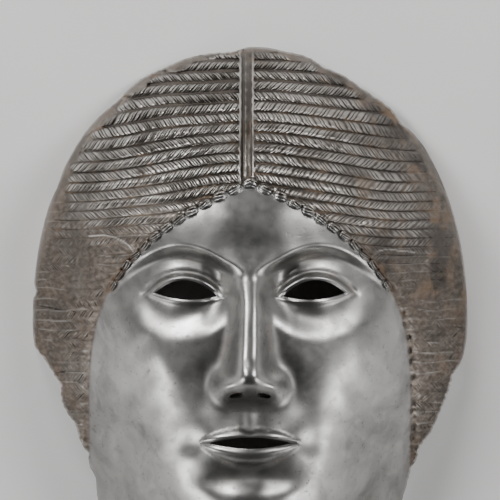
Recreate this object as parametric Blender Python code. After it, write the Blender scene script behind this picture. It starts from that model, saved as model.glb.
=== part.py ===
"""Female face mask embossed in one piece from sheet metal, lying on its rim with the face up.

+Z is out of the face, +Y is towards the top of the head and +X is to the right of whoever looks
at the face. The origin is the middle of the mask's outline, in the plane that its rim rests on.
Lengths are in metres. The carving of the face is drawn in units of U, one hundred-and-fiftieth
of the face's width, which is one millimetre on the mask as built.
"""

import math

import bmesh
import bpy
import numpy as np
from mathutils import Vector
from mathutils.geometry import delaunay_2d_cdt
from mathutils.kdtree import KDTree

# Driving dimensions of the mask
WIDTH = 0.213
HEIGHT = 0.249
DEPTH = 0.091
SHEET = 0.0016
FACE_WIDTH = 0.150
THROAT_WIDTH = 0.142
THROAT_DEPTH = 0.040

# Hair: rows of plaits on both sides of a parting, and a string of beads along the hairline
PLAIT_PITCH = 0.00505
PLAIT_RELIEF = 0.0010
PARTING_WIDTH = 0.0056
PARTING_DEPTH = 0.0012
BEAD_PITCH = 0.0070
BEAD_WIDTH = 0.0044
BEAD_RELIEF = 0.0020
HAIR_STEP = 0.0016
SMOOTH_BORDER = 0.0040

# Openings through the sheet
EYE_OPENING_WIDTH = 0.030
EYE_OPENING_HEIGHT = 0.0095
MOUTH_OPENING_WIDTH = 0.040
MOUTH_OPENING_HEIGHT = 0.0054
NOSTRIL_WIDTH = 0.0068
NOSTRIL_HEIGHT = 0.0026

# How fine the mesh is
FACE_STEP = 0.0060
FEATURE_STEP = 0.0037
NOSE_STEP = 0.0030
HAIR_LENGTH_STEP = 0.0112
EDGE_STEP = 0.0050
LEAST_GAP = 0.0016
LOOP_POINTS = 9

U = FACE_WIDTH / 150
HALF_WIDTH = WIDTH / 2
HALF_HEIGHT = HEIGHT / 2
EYE_LINE = 0.0035
FACE_BLEND = 0.004


def smoothstep(low, high, value):
    share = np.clip((value - low) / (high - low), 0.0, 1.0)
    return share * share * (3.0 - 2.0 * share)


def bump(x, y, centre_x, centre_y, radius_x, radius_y, height):
    """A round swelling, or a hollow if height is negative."""
    return height * np.exp(-(((x - centre_x) / radius_x) ** 2) - ((y - centre_y) / radius_y) ** 2)


def smooth_max(first, second, radius):
    return (first + second + np.sqrt((first - second) ** 2 + radius**2)) / 2.0


def through(points, value):
    """A smooth curve through a few (place, height) pairs, level beyond its ends."""
    place, height = np.array(sorted(points), float).T
    slope = np.gradient(height, place)
    slope[0] = slope[-1] = 0.0
    value = np.clip(value, place[0], place[-1])
    index = np.clip(np.searchsorted(place, value) - 1, 0, len(place) - 2)
    span = place[index + 1] - place[index]
    t = (value - place[index]) / span
    return (
        height[index] * (1 + 2 * t) * (1 - t) ** 2
        + height[index + 1] * t * t * (3 - 2 * t)
        + span * slope[index] * t * (1 - t) ** 2
        - span * slope[index + 1] * t * t * (1 - t)
    )


# The shell of hair and throat

WIDEST_Y = -0.010
BROW_Y = 0.025
EDGE_POWER = 2.15


def shell_half_width(y):
    """Half the width of the shell in its rest plane: round above, easing to the throat below."""
    rise = np.clip((y - WIDEST_Y) / (HALF_HEIGHT - WIDEST_Y), 0, 1)
    above = HALF_WIDTH * np.clip(1 - rise**EDGE_POWER, 1e-6, 1) ** (1 / EDGE_POWER)
    share = np.clip((WIDEST_Y - y) / (HALF_HEIGHT + WIDEST_Y), 0, 1)
    below = THROAT_WIDTH / 2 + (HALF_WIDTH - THROAT_WIDTH / 2) * (1 + np.cos(math.pi * share)) / 2
    return np.where(y > WIDEST_Y, above, below)


def shell_middle(y):
    """Height of the shell over its rest plane along the middle."""
    up = np.clip((y - BROW_Y) / (HALF_HEIGHT - BROW_Y), 0, 1)
    down = np.clip((BROW_Y - y) / (HALF_HEIGHT + BROW_Y), 0, 1)
    return DEPTH * (1 - up**2.8) - (DEPTH - THROAT_DEPTH) * down**2


def shell(x, y):
    """An arch across each height, fuller over the crown than at the throat."""
    fullness = 2.1 + 0.6 * smoothstep(0, 0.09, y)
    return shell_middle(y) * (1 - (np.abs(x) / shell_half_width(y)) ** fullness)


# The face, in units of U from the eye line, x always counted outwards from the middle


# (height on the face, height of the head over the rest plane) down the middle
HEAD_MIDDLE = [
    (125, -60), (90, 10), (70, 52), (58, 74), (46, 86), (22, 90), (0, 88), (-30, 85), (-60, 83), (-85, 81),
    (-98, 79.5), (-106, 76), (-112, 68), (-117, 52), (-121, 30), (-126, 5),
]
# (height on the face, half the width of its front)
HEAD_REACH = [(60, 76), (20, 74), (0, 73), (-20, 71), (-45, 67), (-70, 61), (-95, 54), (-126, 45)]
# (distance from the middle, height or depth)
BROW = [(0, 13), (10, 16), (22, 22), (35, 24.5), (50, 20), (62, 11), (74, -3)]
SOCKET_FOOT = [(0, -6), (12, -13), (20, -18), (32, -20), (46, -18), (58, -12), (72, -4)]
SOCKET_DEPTH = [(0, 1.5), (7, 4), (14, 11), (24, 9.5), (36, 7), (50, 4.5), (62, 1.6), (74, 0)]
# (height on the face, height of the nose over the head)
NOSE_HEIGHT = [
    (26, 0), (14, 1.8), (4, 5.4), (-8, 10.2), (-20, 14.6), (-30, 18.2), (-37, 20.4), (-41, 20.2),
    (-44.5, 17.4), (-47.5, 12.2), (-50, 7), (-53, 2.4), (-57, 0),
]
# (height on the face, half the width of the nose)
NOSE_HALF = [(26, 15), (12, 8.5), (2, 6.6), (-16, 7.4), (-30, 9.0), (-42, 10.2), (-52, 11.0)]
EYE_X = 31.0
EYE_RISE, EYE_FALL = 0.74, 0.26
EYE_TILT = 0.05
MOUTH_Y = -71.5


def head_form(x, y):
    """The face without features: a level front that curves back to the cheeks and in to the chin."""
    share = x / through(HEAD_REACH, y)
    return through(HEAD_MIDDLE, y) - 42 * share**2.4 - 300 * np.clip(share - 1, 0, None) ** 2


def socket(x, y):
    """The hollow under the brow, crisp above and soft towards the cheek."""
    under_brow = smoothstep(0, 7, through(BROW, x) - y)
    over_cheek = smoothstep(-3, 19, y - through(SOCKET_FOOT, x))
    return -through(SOCKET_DEPTH, x) * under_brow * over_cheek


def lens(x, y, width, rise, fall):
    """Distance outside an almond of this width, with rise above its middle line and fall below."""
    upper = (width**2 / 4 + rise**2) / (2 * rise)
    lower = (width**2 / 4 + fall**2) / (2 * fall)
    return np.maximum(np.hypot(x, y - (rise - upper)) - upper, np.hypot(x, y + (fall - lower)) - lower)


def eye_distance(x, y):
    along = x - EYE_X
    rise, fall = EYE_RISE * EYE_OPENING_HEIGHT / U, EYE_FALL * EYE_OPENING_HEIGHT / U
    return lens(along, y - EYE_TILT * along, EYE_OPENING_WIDTH / U, rise, fall)


def eye(x, y):
    """Eyeball under the lids, the lids' raised edges and the crease above the upper lid."""
    away = eye_distance(x, y)
    upper = smoothstep(-1.5, 1.5, y)
    ball = bump(x, y, EYE_X, 0.5, 15, 9.5, 7.0)
    rim = (0.9 + 0.5 * upper) * np.exp(-(((away - 1.3) / 1.2) ** 2))
    crease = -1.0 * upper * np.exp(-(((away - 4.0) / 1.0) ** 2))
    return ball + rim + crease


def nose(x, y):
    """A straight ridge from the brow to a round tip, with a wing on each side."""
    ridge = through(NOSE_HEIGHT, y) * np.exp(-((x / through(NOSE_HALF, y)) ** 2) ** 1.5)
    tip = bump(x, y, 0, -39.5, 7.0, 7.0, 2.4)
    wing = bump(x, y, 12.6, -44.0, 5.2, 6.0, 9.6)
    groove = bump(x, y, 19.5, -42, 3.6, 7, -1.2)
    return ridge + tip + wing + groove


def lips(x, y):
    """Two swellings that meet at the mouth, with a bow in the upper border."""
    taper = np.clip(1 - (x / 25.0) ** 2, 0, 1)
    top = MOUTH_Y + 7.6 * taper**0.8 - 1.2 * np.exp(-((x / 3.2) ** 2))
    bottom = MOUTH_Y - 11.5 * taper**0.9
    above = np.clip((y - MOUTH_Y) / np.maximum(top - MOUTH_Y, 0.1), 0, 1)
    below = np.clip((MOUTH_Y - y) / np.maximum(MOUTH_Y - bottom, 0.1), 0, 1)
    upper = 2.6 * taper**0.6 * np.sin(math.pi * above) ** 0.9
    lower = 4.2 * taper**0.7 * np.sin(math.pi * below) ** 0.9
    return upper + lower


def around_mouth(x, y):
    muzzle = bump(x, y, 0, -70, 28, 18, 4.5)
    between = smoothstep(-68, -62, y) * (1 - smoothstep(-55, -50, y))
    philtrum = -0.7 * between * np.exp(-((x / 3.2) ** 2))
    corner = bump(x, y, 29.0, MOUTH_Y - 0.5, 6.5, 5.5, -1.5)
    fold = bump(x, y, 0, -88.5, 20, 6.6, -2.6)
    chin = bump(x, y, 0, -102, 20, 12, 4.2)
    return muzzle + philtrum + corner + fold + chin


def cheeks_and_temples(x, y):
    return (
        bump(x, y, 46, -34, 22, 22, 4.0)
        + bump(x, y, 60, -16, 14, 12, 2.0)
        + bump(x, y, 38, -74, 18, 24, 2.0)
        + bump(x, y, 66, 20, 14, 16, -2.0)
    )


def face(x, y):
    """Height of the features over the head form, at points in units of U."""
    features = (socket, eye, nose, lips, around_mouth, cheeks_and_temples)
    return sum(feature(x, y) for feature in features)


def in_face_units(x, y):
    return np.abs(x) / U, (y - EYE_LINE) / U


def form(x, y):
    """The mask without its hair relief."""
    u, v = in_face_units(x, y)
    inside = 1 - smoothstep(-FACE_BLEND, FACE_BLEND, hairline_distance(x, y))
    return smooth_max(shell(x, y), U * head_form(u, v), FACE_BLEND) + inside * U * face(u, v)


# The hairline, a pointed arch from a peak on the forehead down to the jaw

HAIRLINE_PEAK = 0.0575
HAIRLINE_FOOT = -0.068
HAIRLINE_POWER = 3.8
HAIRLINE_SPREAD = 0.52 * FACE_WIDTH
BEADS_END = 0.012
BEAD_HALF_LENGTH = 0.47 * BEAD_PITCH
BEAD_TAPER = 0.18


def hairline_share(y):
    return np.clip((y - HAIRLINE_FOOT) / (HAIRLINE_PEAK - HAIRLINE_FOOT), 0, 2)


def hairline_half_width(y):
    return HAIRLINE_SPREAD * (1 - hairline_share(y) ** HAIRLINE_POWER)


def hairline_slope(y):
    rate = HAIRLINE_POWER / (HAIRLINE_PEAK - HAIRLINE_FOOT)
    return -HAIRLINE_SPREAD * rate * hairline_share(y) ** (HAIRLINE_POWER - 1)


def hairline_distance(x, y):
    """About how far a point lies outside the hairline."""
    return (np.abs(x) - hairline_half_width(y)) / np.sqrt(1 + hairline_slope(y) ** 2)


def hairline_points(pitch, low, offset=0.0, taper=0.0):
    """Places along one side of the hairline from its peak down, and its direction there. A taper
    makes the distances between them that share longer at the peak and shorter at the end."""
    y = np.linspace(HAIRLINE_PEAK, low, 2000)
    x = hairline_half_width(y)
    length = np.concatenate([[0], np.cumsum(np.hypot(np.diff(x), np.diff(y)))])
    share = np.arange(0, length[-1], pitch) / length[-1]
    y = np.interp(length[-1] * share * (1 + taper * (1 - share)), length, y)
    slope = hairline_slope(y)
    along = np.stack([slope, np.ones_like(y)], 1) / np.sqrt(1 + slope**2)[:, None]
    outward = np.stack([along[:, 1], -along[:, 0]], 1)
    return np.stack([hairline_half_width(y), y], 1) + offset * outward, along


def bead_string():
    """The place, direction and size of each bead on one side, the largest at the hairline's peak."""
    places, directions = hairline_points(BEAD_PITCH, BEADS_END, taper=BEAD_TAPER)
    return list(zip(places, directions, np.linspace(1 + BEAD_TAPER, 1 - BEAD_TAPER, len(places))))


# Relief of the hair over the form

FIRST_ROW_Y = 0.1174
BENT_ROWS = 22
ROW_DROP = 0.009
ROW_DROP_REACH = 0.080
PARTING_X = -0.0017
MOST_LEAN = 2.4


def row_drop(x, y):
    """How far a row that passes here has come down from its height at the parting."""
    down = np.clip((FIRST_ROW_Y - y) / (BENT_ROWS * PLAIT_PITCH), 0, 1)
    return ROW_DROP * np.sin(math.pi * down) * smoothstep(0, ROW_DROP_REACH, np.abs(x - PARTING_X))


def row_number(x, y):
    return (FIRST_ROW_Y - y - row_drop(x, y)) / PLAIT_PITCH


def row_y(row, x):
    at_parting = FIRST_ROW_Y - row * PLAIT_PITCH + 0 * x
    y = at_parting
    for _ in range(8):
        y = at_parting - row_drop(x, y)
    return y


def edge_distance(x, y):
    """About how far a point lies inside the unbroken edge of the mask."""
    step = 1e-4
    slope = (shell_half_width(y + step) - shell_half_width(y - step)) / (2 * step)
    return (shell_half_width(y) - np.abs(x)) / np.sqrt(1 + slope**2)


def plaits(x, y):
    """Rounded ridges between narrow grooves, from nothing at a ridge to the full relief in a groove."""
    across = row_number(x, y) % 1
    ridge = PLAIT_RELIEF * (np.sin(math.pi * across) ** 0.7 - 1)
    border = smoothstep(0.6 * SMOOTH_BORDER, 1.2 * SMOOTH_BORDER, edge_distance(x, y))
    return ridge * border * smoothstep(0, 0.0016, parting_distance(x))


def parting_distance(x):
    return np.abs(x - PARTING_X) - PARTING_WIDTH / 2


def parting(x):
    return -PARTING_DEPTH * (1 - smoothstep(-0.0012, 0.0006, parting_distance(x)))


def beads(x, y):
    """Smooth ovals strung along the hairline on both sides, one of them at its peak."""
    relief = np.zeros_like(x)
    for (bead_x, bead_y), (along_x, along_y), size in bead_string():
        dx, dy = np.abs(x) - bead_x, y - bead_y
        along = (dx * along_x + dy * along_y) / (size * BEAD_HALF_LENGTH)
        across = (dx * along_y - dy * along_x) / (size * BEAD_WIDTH / 2)
        relief = np.maximum(relief, BEAD_RELIEF * np.sqrt(np.clip(1 - along**2 - across**2, 0, 1)))
    return relief


def hair(x, y, stretch):
    covered = smoothstep(0, 0.0016, hairline_distance(x, y))
    return covered * (HAIR_STEP + stretch * plaits(x, y) + parting(x)) + beads(x, y)


def surface(x, y):
    """Height of the outer skin. The hair's relief stands along the form's normal, and the plaits
    keep their proportions where the form leans back and their rows lie further apart."""
    step = 1e-4
    slope_x = (form(x + step, y) - form(x - step, y)) / (2 * step)
    slope_y = (form(x, y + step) - form(x, y - step)) / (2 * step)
    lean = np.clip(np.sqrt(1 + slope_x**2 + slope_y**2), 1, MOST_LEAN)
    stretch = np.clip(np.sqrt(1 + slope_y**2), 1, MOST_LEAN)
    fade = smoothstep(0, 0.002, edge_distance(x, y))
    return form(x, y) + lean * fade * hair(x, y, stretch)


# The broken edge: millimetres of metal lost on each side, by degrees above the widest line

LEFT_LOSS = [
    (-60, 0), (-50, 0.6), (-45, 4.2), (-41.5, 3.6), (-39.5, 5.2), (-35, 4.4), (-32, 5.8), (-26, 4.6),
    (-21.5, 5.2), (-18.5, 7.4), (-15, 5.8), (-10.5, 3.6), (-6.5, 0), (6, 0.1), (8, 1.2), (10, 0), (30, 0),
    (36, 0.6), (40, 0), (52, 0.4), (58, 1.6), (66, 0.6), (72, 1.3), (77, 1.0), (83, 1.4), (87, 1.8), (90, 0),
]
RIGHT_LOSS = [
    (-60, 0), (-50, 1.2), (-45, 1.8), (-42.5, 2.4), (-39, 2.1), (-36, 3.1), (-33, 1.8), (-25, 1.6),
    (-19, 1.9), (-15.5, 2.5), (-10, 0.3), (-5, 0), (45, 0), (50, 1.2), (53, 2.6), (56, 1.6), (60, 2.6),
    (64, 3.4), (70, 3.0), (74, 3.4), (77, 1.4), (83, 0.8), (87, 0), (90, 0),
]


def contour_radius(angle):
    """How far the shell's unbroken edge lies from the centre of its widest line, along each angle."""
    low, high = np.zeros_like(angle), np.full_like(angle, WIDTH)
    for _ in range(40):
        middle = (low + high) / 2
        x, y = middle * np.cos(angle), WIDEST_Y + middle * np.sin(angle)
        inside = (np.abs(x) < shell_half_width(y)) & (np.abs(y) < HALF_HEIGHT)
        low, high = np.where(inside, middle, low), np.where(inside, high, middle)
    return low


def outline(step):
    """The broken edge as a loop of points, with the throat's two corners among them."""
    corner = math.atan2(-HALF_HEIGHT - WIDEST_Y, THROAT_WIDTH / 2)
    count = round(math.pi * (HALF_WIDTH + HALF_HEIGHT) / step)
    turn = np.linspace(corner, corner + 2 * math.pi, count, endpoint=False)
    across = math.pi - corner
    turn = np.sort(np.append(turn[np.abs(turn - across) > 0.5 / count], across))
    degrees = np.degrees(turn)
    right = through(RIGHT_LOSS, degrees)
    left = through(LEFT_LOSS, 180 - degrees)
    loss = 0.001 * np.clip(np.where(degrees < 90, right, left), 0, None)
    radius = contour_radius(turn) - loss
    return np.stack([radius * np.cos(turn), WIDEST_Y + radius * np.sin(turn)], 1)


def lens_loop(centre_x, centre_y, tilt, width, rise, fall, count):
    """An almond's edge as a loop of points, in units of U."""
    t = np.linspace(-1, 1, count + 1)[:-1]
    top = np.stack([-t * width / 2, rise * (1 - t**2)], 1)
    low = np.stack([t * width / 2, -fall * (1 - t**2)], 1)
    loop = np.concatenate([top, low])
    loop[:, 1] += tilt * loop[:, 0]
    return loop + [centre_x, centre_y]


# The plan of the skin: loops, lines and loose points in the XY plane, joined into triangles and raised


def inside_loop(points, loop):
    """Which points lie inside a closed loop."""
    x, y = points[:, :1], points[:, 1:]
    ax, ay = loop.T
    bx, by = np.roll(loop, -1, axis=0).T
    crosses = (ay > y) != (by > y)
    reach = ax + (y - ay) * (bx - ax) / np.where(by == ay, 1, by - ay)
    return (crosses & (x < reach)).sum(axis=1) % 2 == 1


class Plan:
    def __init__(self, edge, holes):
        self.points = []
        self.edges = []
        self.edge = edge
        self.holes = holes
        for loop in [edge, *holes]:
            self.add(loop, closed=True)

    def add(self, points, closed=False):
        """A line of points whose segments stay edges of the mesh."""
        first = len(self.points)
        self.points += [Vector(p) for p in points]
        self.edges += [(first + i, first + i + 1) for i in range(len(points) - 1)]
        if closed:
            self.edges.append((len(self.points) - 1, first))

    def keeps(self, points):
        """Which points lie on the sheet."""
        kept = inside_loop(points, self.edge)
        for hole in self.holes:
            kept &= ~inside_loop(points, hole)
        return kept

    def clear(self, points, gap):
        """Which of these points are on the sheet and no nearer than gap to what is there already."""
        tree = KDTree(len(self.points))
        for index, point in enumerate(self.points):
            tree.insert((point.x, point.y, 0), index)
        tree.balance()
        apart = [tree.find((x, y, 0))[2] > gap for x, y in points]
        return self.keeps(points) & np.array(apart, bool)

    def add_clear_line(self, points):
        """The runs of a line that are clear of what is there already."""
        clear = self.clear(points, LEAST_GAP)
        for run in np.split(np.arange(len(points)), np.flatnonzero(np.diff(clear)) + 1):
            if clear[run[0]]:
                self.add(points[run])

    def scatter(self, step, where):
        """A staggered lattice over the part of the sheet that where() picks, clear of what is there."""
        rows = np.arange(-HALF_HEIGHT, HALF_HEIGHT, step * math.sqrt(3) / 2)
        across = np.arange(-HALF_WIDTH, HALF_WIDTH, step)
        x, y = np.meshgrid(across, rows)
        x[1::2] += step / 2
        points = np.stack([x.ravel(), y.ravel()], 1)
        points = points[where(points[:, 0], points[:, 1])]
        self.points += [Vector(p) for p in points[self.clear(points, 0.75 * step)]]

    def triangles(self):
        found, _, faces, *_ = delaunay_2d_cdt(self.points, self.edges, [], 0, 1e-7, False)
        found = np.array(found)
        faces = np.array(faces)
        faces = faces[self.keeps(found[faces].mean(axis=1))]
        return found, faces


def both_sides(line):
    return [line, line * [-1, 1]]


def eye_loop(grow, count):
    width = EYE_OPENING_WIDTH / U + 2.6 * grow
    rise, fall = EYE_RISE * EYE_OPENING_HEIGHT / U + grow, EYE_FALL * EYE_OPENING_HEIGHT / U + grow
    return lens_loop(EYE_X, 0, EYE_TILT, width, rise, fall, count) * U + [0, EYE_LINE]


def mouth_loop(grow, count):
    width, height = MOUTH_OPENING_WIDTH / U + 2 * grow, MOUTH_OPENING_HEIGHT / U + 2 * grow
    return lens_loop(0, MOUTH_Y, 0, width, height / 2, height / 2, count) * U + [0, EYE_LINE]


NOSTRIL_X, NOSTRIL_Y, NOSTRIL_TILT = 6.6, -48.6, -0.15


def nostril_loop(count):
    t = np.linspace(0, 2 * math.pi, count, endpoint=False)
    x, y = NOSTRIL_WIDTH / 2 * np.cos(t), NOSTRIL_HEIGHT / 2 * np.sin(t)
    return np.stack([x, y + NOSTRIL_TILT * x], 1) + [NOSTRIL_X * U, NOSTRIL_Y * U + EYE_LINE]


def openings():
    return [
        mouth_loop(0, LOOP_POINTS),
        *both_sides(eye_loop(0, LOOP_POINTS)),
        *both_sides(nostril_loop(LOOP_POINTS - 1)),
    ]


def add_face_lines(plan):
    """Rings round the lids and the lips, and the top and foot of the edge of the brow."""
    for grow in (1.4, 3.6):
        for line in both_sides(eye_loop(grow, LOOP_POINTS)):
            plan.add(line, closed=True)
    for grow in (1.8, 4.0):
        plan.add(mouth_loop(grow, LOOP_POINTS), closed=True)
    u = np.arange(8, 70, 4.0)
    for drop in (-1.5, 6.5):
        brow = np.stack([u, through(BROW, u) - drop], 1) * U + [0, EYE_LINE]
        for line in both_sides(brow):
            plan.add_clear_line(line)


def add_hairline(plan):
    """The foot and the top of the hair's step over the face, below the beads."""
    for offset in (-0.0004, 0.0018):
        line, _ = hairline_points(EDGE_STEP, HAIRLINE_FOOT, offset)
        line = line[line[:, 1] < BEADS_END - BEAD_WIDTH]
        for side in both_sides(line):
            plan.add_clear_line(side)


def add_beads(plan):
    """For each bead a ring on its slope, its middle, and a foot ring that stops short of its neighbours."""
    middle = np.zeros((1, 2))
    slope_turn = np.radians(np.arange(0, 360, 60))
    foot_turn = np.radians([48, 90, 132, 228, 270, 312])
    slope_ring = 0.68 * np.stack([np.cos(slope_turn), np.sin(slope_turn)], 1)
    foot_ring = 1.08 * np.stack([np.cos(foot_turn), np.sin(foot_turn)], 1)
    gap = np.array([[1.06, 0]])
    for place, along, size in bead_string():
        across = np.array([along[1], -along[0]])
        axes = size * np.stack([BEAD_HALF_LENGTH * along, BEAD_WIDTH / 2 * across])
        bead = place + np.vstack([middle, slope_ring, foot_ring, gap]) @ axes
        plan.points += [Vector(p) for p in bead]
        if place[0] > 0:
            plan.points += [Vector(p) for p in bead * [-1, 1]]


def add_parting(plan):
    """The top and the foot of each wall of the parting."""
    y = np.arange(HAIRLINE_PEAK + BEAD_PITCH, HALF_HEIGHT, EDGE_STEP)
    for outward in (-0.0012, 0.0006):
        for side in (-1, 1):
            x = np.full_like(y, PARTING_X + side * (PARTING_WIDTH / 2 + outward))
            plan.add_clear_line(np.stack([x, y], 1))


def add_rows(plan):
    """A line of points along every groove and every ridge of the plaits, short of the broken edge."""
    middle = np.array([0, WIDEST_Y])
    outwards = plan.edge - middle
    border = middle + outwards * (1 - 0.6 * SMOOTH_BORDER / np.hypot(*outwards.T)[:, None])
    first = PARTING_WIDTH / 2 + 0.0024
    last = (FIRST_ROW_Y + HALF_HEIGHT) / PLAIT_PITCH
    for row in np.arange(-0.5, last, 0.5):
        reach = shell_half_width(row_y(row, shell_half_width(row_y(row, 0)))) - SMOOTH_BORDER
        steps = np.arange(first, reach - HAIR_LENGTH_STEP / 2, HAIR_LENGTH_STEP)
        for side in (-1, 1):
            x = np.append(PARTING_X + side * steps, side * reach)
            line = np.stack([x, row_y(row, x)], 1)
            above_beads = hairline_distance(line[:, 0], line[:, 1]) > BEAD_WIDTH / 2 + 0.0008
            line = line[above_beads & inside_loop(line, border)]
            if len(line):
                plan.add_clear_line(line)


def on_nose(x, y):
    u, v = in_face_units(x, y)
    return (u < 19) & (v > -55) & (v < 4)


def on_features(x, y):
    u, v = in_face_units(x, y)
    round_mouth_and_nose = (u < 30) & (v > -90) & (v < 4)
    round_eyes = (u < 58) & (v > -14) & (v < 26)
    return round_mouth_and_nose | round_eyes


def anywhere(x, y):
    return np.isfinite(x + y)


def mask_plan():
    plan = Plan(outline(EDGE_STEP), openings())
    add_face_lines(plan)
    add_hairline(plan)
    add_beads(plan)
    add_parting(plan)
    add_rows(plan)
    plan.scatter(NOSE_STEP, on_nose)
    plan.scatter(FEATURE_STEP, on_features)
    plan.scatter(FACE_STEP, anywhere)
    return plan


def make_mask(collection):
    found, faces = mask_plan().triangles()
    x, y = found.T
    z = surface(x, y)
    z = np.where(edge_distance(x, y) < 1e-5, 0, z)
    mesh = bmesh.new()
    verts = [mesh.verts.new(point) for point in np.stack([x, y, z], 1)]
    for face_verts in faces:
        mesh.faces.new([verts[i] for i in face_verts])
    for vertex in [v for v in mesh.verts if not v.link_faces]:
        mesh.verts.remove(vertex)
    mesh.normal_update()
    bmesh.ops.solidify(mesh, geom=mesh.faces[:], thickness=SHEET)
    for vertex in mesh.verts:
        vertex.co.z = max(vertex.co.z, 0.0)
    data = bpy.data.meshes.new("face_mask")
    mesh.to_mesh(data)
    mesh.free()
    data.shade_smooth()
    data.set_sharp_from_angle(angle=math.radians(40))
    mask = bpy.data.objects.new("face_mask", data)
    collection.objects.link(mask)
    return mask


def sheet_metal():
    material = bpy.data.materials.new("tinned sheet")
    material.use_nodes = True
    shader = material.node_tree.nodes["Principled BSDF"]
    shader.inputs["Base Color"].default_value = (0.36, 0.36, 0.36, 1)
    shader.inputs["Metallic"].default_value = 1.0
    shader.inputs["Roughness"].default_value = 0.38
    return material


def main():
    for old in list(bpy.data.objects):
        bpy.data.objects.remove(old)
    collection = bpy.data.collections.new("Female face mask")
    bpy.context.scene.collection.children.link(collection)
    mask = make_mask(collection)
    mask.data.materials.append(sheet_metal())


main()
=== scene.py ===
"""The female face mask as it looks: the same sheet with its fine chasing, polished metal and patina.

Lengths are in metres in the part's own frame: +Z out of the face, +Y towards the top of the head
and +X to the right of whoever looks at the face. The carving of the face is drawn in units of U,
one hundred-and-fiftieth of the face's width.
"""

import math

import bmesh
import bpy
import numpy as np
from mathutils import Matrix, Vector
from mathutils.geometry import delaunay_2d_cdt
from mathutils.kdtree import KDTree


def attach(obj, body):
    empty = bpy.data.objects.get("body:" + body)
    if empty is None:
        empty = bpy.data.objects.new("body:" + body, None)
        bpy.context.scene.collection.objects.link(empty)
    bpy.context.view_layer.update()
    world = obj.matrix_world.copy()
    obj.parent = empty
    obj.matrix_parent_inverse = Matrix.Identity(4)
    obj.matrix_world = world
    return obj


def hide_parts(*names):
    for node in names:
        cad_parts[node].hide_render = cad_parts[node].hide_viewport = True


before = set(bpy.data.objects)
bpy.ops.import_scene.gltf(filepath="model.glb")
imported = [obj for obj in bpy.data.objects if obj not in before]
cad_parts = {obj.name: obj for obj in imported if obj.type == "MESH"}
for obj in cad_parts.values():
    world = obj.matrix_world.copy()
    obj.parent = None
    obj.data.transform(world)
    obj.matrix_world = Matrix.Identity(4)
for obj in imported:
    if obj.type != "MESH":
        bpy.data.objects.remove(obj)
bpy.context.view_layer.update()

# Driving dimensions of the mask
WIDTH = 0.213
HEIGHT = 0.249
DEPTH = 0.091
SHEET = 0.0016
FACE_WIDTH = 0.150
THROAT_WIDTH = 0.142
THROAT_DEPTH = 0.040

# Hair: rows of plaits on both sides of a parting, and a string of beads along the hairline
PLAIT_PITCH = 0.00505
PLAIT_RELIEF = 0.0010
PARTING_WIDTH = 0.0056
PARTING_DEPTH = 0.0012
BEAD_PITCH = 0.0070
BEAD_WIDTH = 0.0044
BEAD_RELIEF = 0.0020
HAIR_STEP = 0.0016
SMOOTH_BORDER = 0.0040

# Openings through the sheet
EYE_OPENING_WIDTH = 0.030
EYE_OPENING_HEIGHT = 0.0095
MOUTH_OPENING_WIDTH = 0.040
MOUTH_OPENING_HEIGHT = 0.0054
NOSTRIL_WIDTH = 0.0068
NOSTRIL_HEIGHT = 0.0026

# Fine chasing: the wobble of a row and the half width of its cord are shares of the plaits' pitch
STROKE_SPACING_LEFT = 0.0016
STROKE_SPACING_RIGHT = 0.0022
STROKE_DEPTH = 0.00062
ROW_WOBBLE = 0.05
FINE_PLAIT_RELIEF = 0.0014
CORD_SHARE = 0.48
BEAD_RIB_DEPTH = 0.0007
PUNCH_PITCH = 0.0062
PUNCH_LENGTH, PUNCH_WIDTH, PUNCH_DEPTH = 0.0030, 0.0018, 0.0007
DENT_DEPTH = 0.00012
LUMP_DEPTH = 0.00003
LINE_WIDTH, LINE_RELIEF = 0.0003, 0.00015
CRACK_WIDTH, CRACK_DEPTH = 0.0003, 0.0005
FRAY = 0.00025

# Wear: the share of its relief that the right side keeps, and where the hair's relief rises to full
RIGHT_KEPT = 0.65
CRISP_FOOT_LEFT, CRISP_FOOT_RIGHT, CRISP_RISE = 0.015, 0.0, 0.04
HIGH_FOOT_LEFT, HIGH_FOOT_RIGHT, HIGH_RISE = 0.012, -0.005, 0.06

# Steps of the mesh, and the least gaps between its lines, the last one as a share of the step
FACE_STEP = 0.0014
FEATURE_STEP = 0.00105
EDGE_STEP = 0.0012
INNER_STEP = 0.0032
HAIRLINE_STEP = 0.0009
PARTING_STEP = 0.0012
GROOVE_STEP = 0.00085
CRACK_STEP = 0.0006
LINE_GAP = 0.0003
PARTING_GAP = 0.00028
FEATURE_GAP = 0.00025
BROW_GAP = 0.0005
CRACK_GAP = 0.0002
BEAD_GAP = 0.00012
SCATTER_GAP = 0.7

# Where lines of the mesh run: in shares of a stroke or row, in metres, and in units of U for the rings
STROKE_PHASES = (0.0, 0.25, 0.5, 0.75)
ROW_PHASES = (0.09, 0.2, 0.35, 0.5, 0.65, 0.8, 0.91)
EDGE_INSETS = (0.0005, 0.0011, 0.0019, 0.003)
HAIRLINE_OFFSETS = (
    -0.0034, -0.0027, -0.0020, -0.0010, -0.0004, 0.0001, 0.0005, 0.0009, 0.0013, 0.0018, 0.0027,
)
PARTING_EDGE_OFFSETS = (-0.0014, -0.0009, -0.0005, 0, 0.0005, 0.001)
PARTING_LINE_OFFSETS = (-0.0017, -0.0013, -0.0009, -0.0005, -0.0001, 0.0006)
EYE_RINGS = (0.4, 0.9, 1.4, 2.0, 2.7, 3.4, 4.0, 4.8)
MOUTH_RINGS = (0.5, 1.1, 1.8, 2.6, 3.5, 4.4)

# Rounds of the searches for a place, and how many points are looked at together
ROUNDS, HALVINGS, BATCH = 14, 40, 4000

U = FACE_WIDTH / 150
HALF_WIDTH = WIDTH / 2
HALF_HEIGHT = HEIGHT / 2
EYE_LINE = 0.0035
FACE_BLEND = 0.004


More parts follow.
